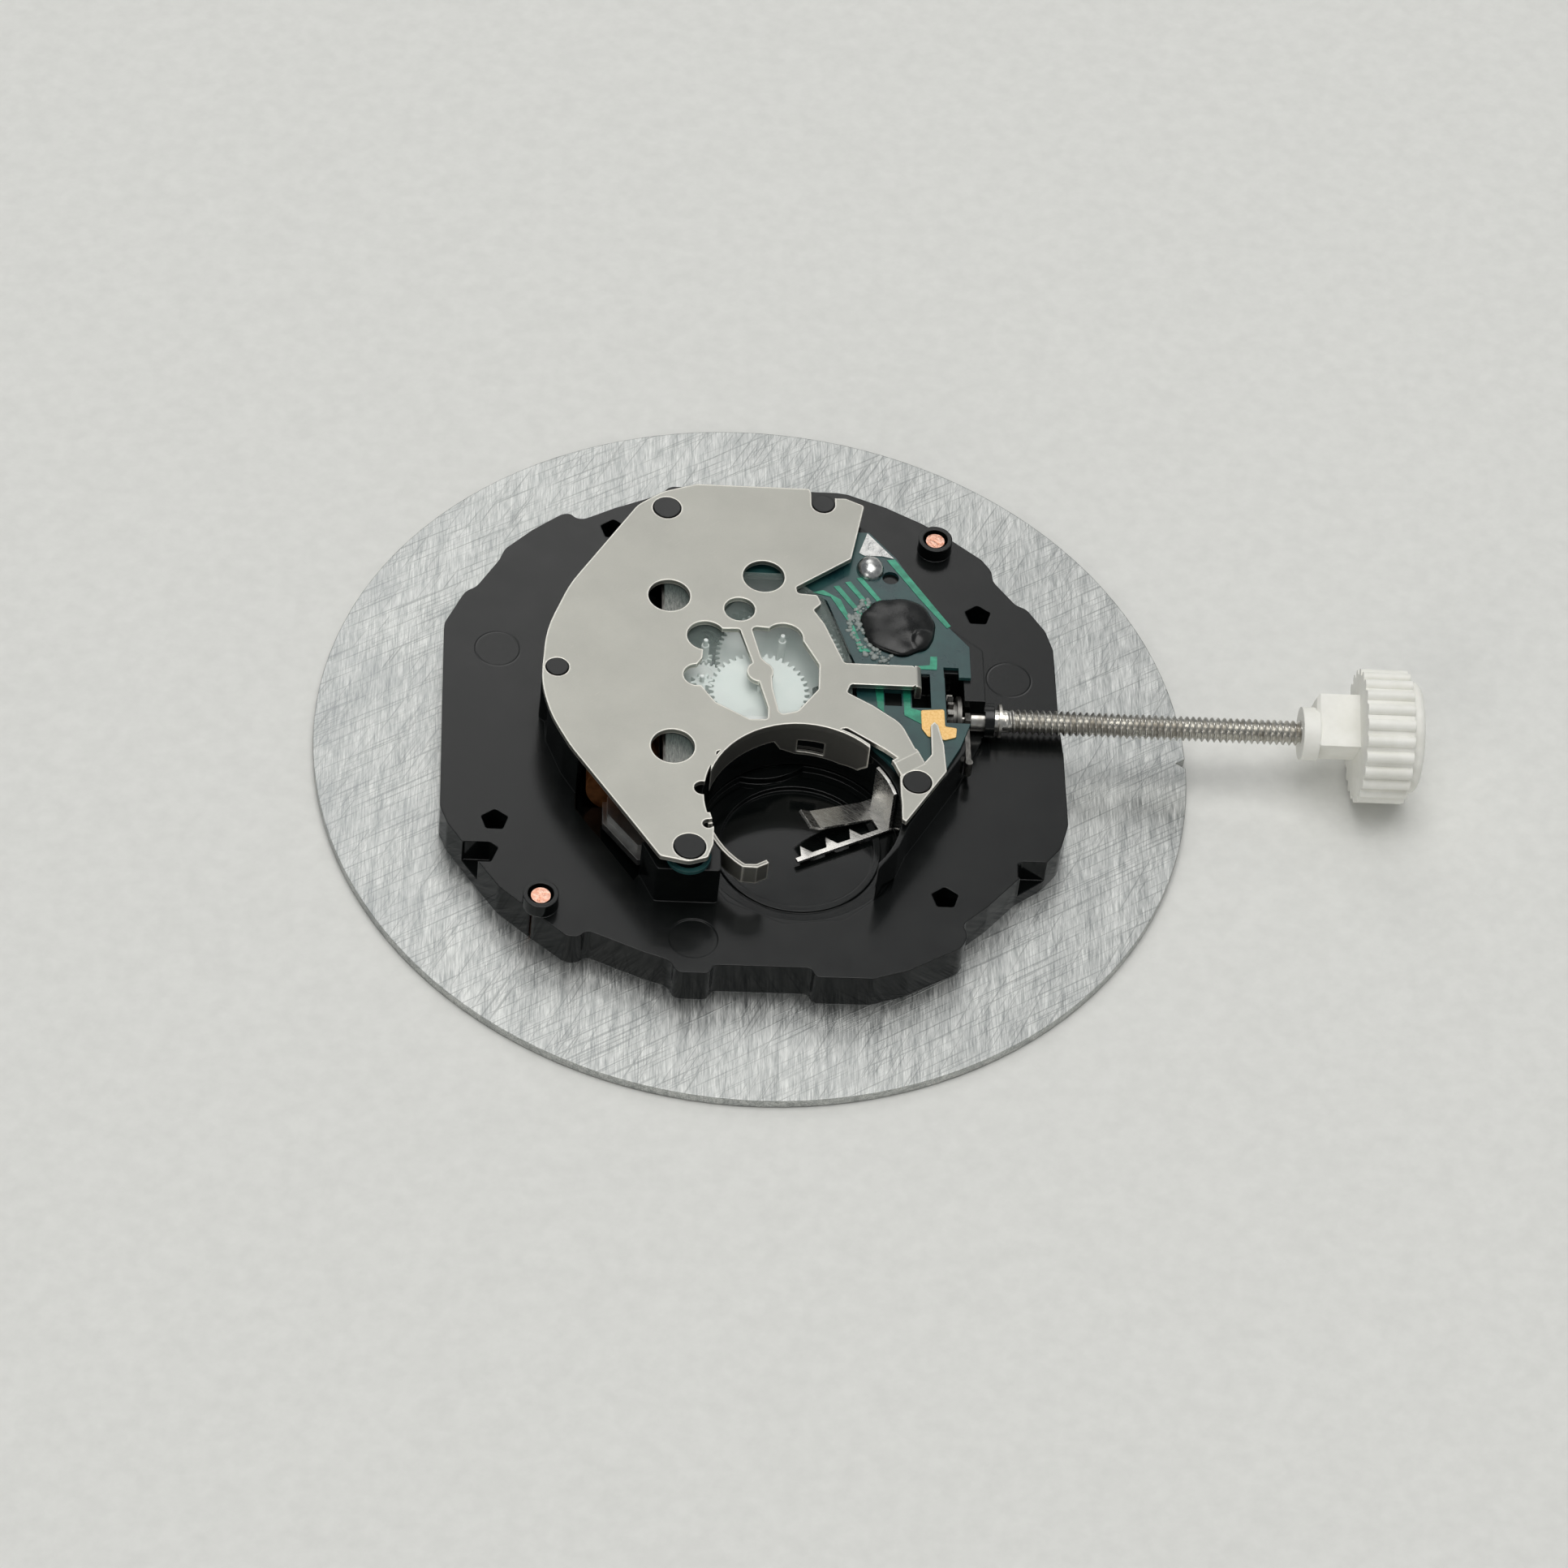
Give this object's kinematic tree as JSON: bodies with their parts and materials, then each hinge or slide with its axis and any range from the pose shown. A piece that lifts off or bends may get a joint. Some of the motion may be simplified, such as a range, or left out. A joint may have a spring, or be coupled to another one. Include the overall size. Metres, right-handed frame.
{
  "type": "quartz watch movement",
  "caption": "Three-hand quartz watch movement on a round dial disc, with a threaded setting stem and a knurled plastic fitting crown.",
  "frame": {"origin": "on the axis of the hands, at the dial disc's back face, which the movement stands on", "axes": "+X out along the setting stem to the crown, +Z from the dial disc towards the movement's cover, the hand seats point along -Z"},
  "size_m": [0.0393, 0.0312, 0.0058],
  "materials": {
    "brushed_disc": "fine brushed",
    "copper": "bare copper",
    "black_plastic": "satin black",
    "white_plastic": "smooth",
    "clear_plastic": "clear",
    "nickel_sheet": "satin",
    "green_board": "solder resist",
    "resin": "domed resin",
    "crystal_can": "bright",
    "solder": "bright",
    "gilt": "gilt",
    "coil_wire": "enamelled copper",
    "soft_iron": "matt",
    "magnet": "dull",
    "steel": "turned",
    "brass": "turned",
    "crown_plastic": "smooth white"
  },
  "bodies": {
    "movement": {"dial_disc": "brushed_disc", "dial_feet": "copper", "main_plate": "black_plastic", "middle_bridge": "white_plastic", "train_bridge": "clear_plastic", "cover_plate": "nickel_sheet", "circuit_board": "green_board", "chip_resin": "resin", "quartz_crystal": "crystal_can", "board_solder": "solder", "contact_pad": "gilt", "coil_winding": "coil_wire", "coil_core": "soft_iron", "coil_terminal_board": "green_board", "coil_solder": "solder", "stator": "soft_iron", "dial_washer": "brass", "negative_contact": "nickel_sheet"},
    "rotor": {"rotor_magnet": "magnet", "rotor_pinion": "white_plastic"},
    "fifth_arbor": {"fifth_wheel": "white_plastic"},
    "seconds_arbor": {"fourth_wheel": "white_plastic"},
    "third_arbor": {"third_wheel": "white_plastic"},
    "minute_arbor": {"centre_wheel": "white_plastic", "cannon_pinion": "brass"},
    "minute_wheel_body": {"minute_wheel": "white_plastic"},
    "hour_pipe": {"hour_wheel": "white_plastic"},
    "setting_wheel_body": {"setting_wheel": "white_plastic"},
    "corrector_body": {"corrector_wheel": "white_plastic"},
    "clutch": {"clutch_wheel": "steel"},
    "stem_and_crown": {"setting_stem": "steel", "crown": "crown_plastic"},
    "lever": {"setting_lever": "steel"}
  },
  "joints": [
    {"name": "seconds_turn", "type": "hinge", "parent": "movement", "child": "seconds_arbor", "pos_m": [0, 0, 0.002], "axis": [0, 0, 1], "continuous": true},
    {"name": "rotor_turn", "type": "hinge", "parent": "movement", "child": "rotor", "pos_m": [-0.00188, 0.00205, 0.0018], "axis": [0, 0, 1], "continuous": true},
    {"name": "fifth_turn", "type": "hinge", "parent": "movement", "child": "fifth_arbor", "pos_m": [-0.00203, 0.00035, 0.0024], "axis": [0, 0, 1], "continuous": true},
    {"name": "third_turn", "type": "hinge", "parent": "movement", "child": "third_arbor", "pos_m": [0.00087, 0.0024, 0.0021], "axis": [0, 0, 1], "continuous": true},
    {"name": "minutes_turn", "type": "hinge", "parent": "movement", "child": "minute_arbor", "pos_m": [0, 0, 0.0011], "axis": [0, 0, 1], "continuous": true},
    {"name": "minute_wheel_turn", "type": "hinge", "parent": "movement", "child": "minute_wheel_body", "pos_m": [0.00192, 0, 0.0004], "axis": [0, 0, 1], "continuous": true},
    {"name": "hours_turn", "type": "hinge", "parent": "movement", "child": "hour_pipe", "pos_m": [0, 0, 0.0002], "axis": [0, 0, 1], "continuous": true},
    {"name": "setting_wheel_turn", "type": "hinge", "parent": "movement", "child": "setting_wheel_body", "pos_m": [0.00432, 0, 0.00045], "axis": [0, 0, 1], "continuous": true},
    {"name": "corrector_turn", "type": "hinge", "parent": "movement", "child": "corrector_body", "pos_m": [0.00592, 0, 0.0008], "axis": [0, 0, 1], "continuous": true},
    {"name": "crown_turn", "type": "hinge", "parent": "movement", "child": "clutch", "pos_m": [0.007, 0, 0.0021], "axis": [1, 0, 0], "continuous": true},
    {"name": "crown_pull", "type": "slide", "parent": "clutch", "child": "stem_and_crown", "axis": [1, 0, 0], "range_m": [0, 0.0004]},
    {"name": "lever_swing", "type": "hinge", "parent": "movement", "child": "lever", "pos_m": [0.00746, -0.0023, 0.0023], "axis": [0, 0, 1], "range_deg": [-12.5, 0.5]}
  ],
  "couplings": [
    {"joint": "rotor_turn", "follows": "seconds_turn", "ratio": 30},
    {"joint": "fifth_turn", "follows": "seconds_turn", "ratio": -5},
    {"joint": "third_turn", "follows": "seconds_turn", "ratio": -0.13333},
    {"joint": "minutes_turn", "follows": "seconds_turn", "ratio": 0.016667},
    {"joint": "minute_wheel_turn", "follows": "seconds_turn", "ratio": -0.0055556},
    {"joint": "hours_turn", "follows": "seconds_turn", "ratio": 0.0013889},
    {"joint": "setting_wheel_turn", "follows": "seconds_turn", "ratio": 0.0083333},
    {"joint": "corrector_turn", "follows": "seconds_turn", "ratio": -0.0125},
    {"joint": "lever_swing", "follows": "crown_pull", "rad_per_m": -518.75}
  ]
}
